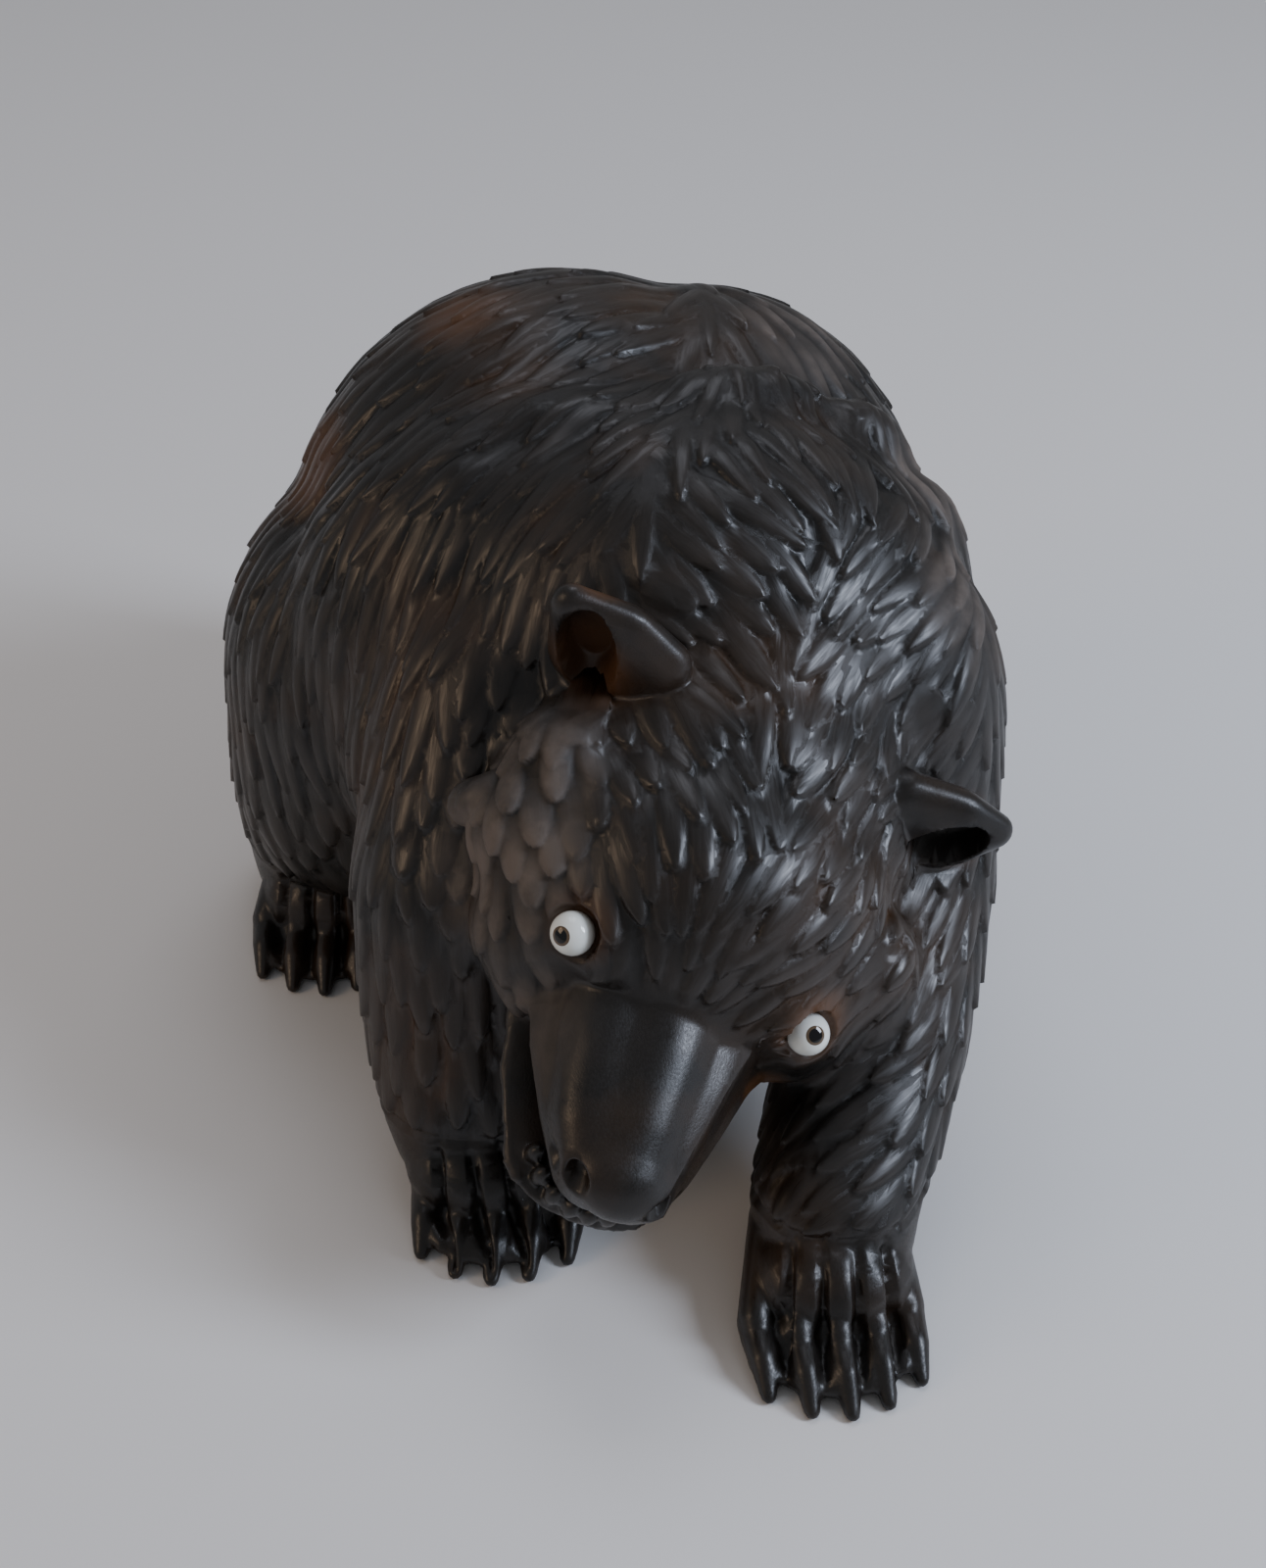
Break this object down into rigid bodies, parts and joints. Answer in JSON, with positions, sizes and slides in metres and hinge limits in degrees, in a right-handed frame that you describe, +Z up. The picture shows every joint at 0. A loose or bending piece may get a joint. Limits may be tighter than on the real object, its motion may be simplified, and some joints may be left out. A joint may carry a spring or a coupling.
{
  "type": "carved wooden bear",
  "caption": "Carved wooden bear walking with its head hung low and turned aside, gouge-cut fur, open mouth, clawed paws and glass bead eyes.",
  "frame": {"origin": "on the surface that the bear stands on, under the middle of its bounding box", "axes": "+Z up, the bear faces -Y and its left side is +X"},
  "size_m": [0.118, 0.175, 0.1068],
  "materials": {
    "ebonised_wood": "stained near black, waxed satin, smooth on the muzzle and gouge-cut on the coat",
    "eye_glass": "opaque white glass bead with a dark pupil, polished"
  },
  "bodies": {
    "root": {"carved_bear": "ebonised_wood", "right_eye": "eye_glass", "left_eye": "eye_glass"}
  },
  "joints": []
}
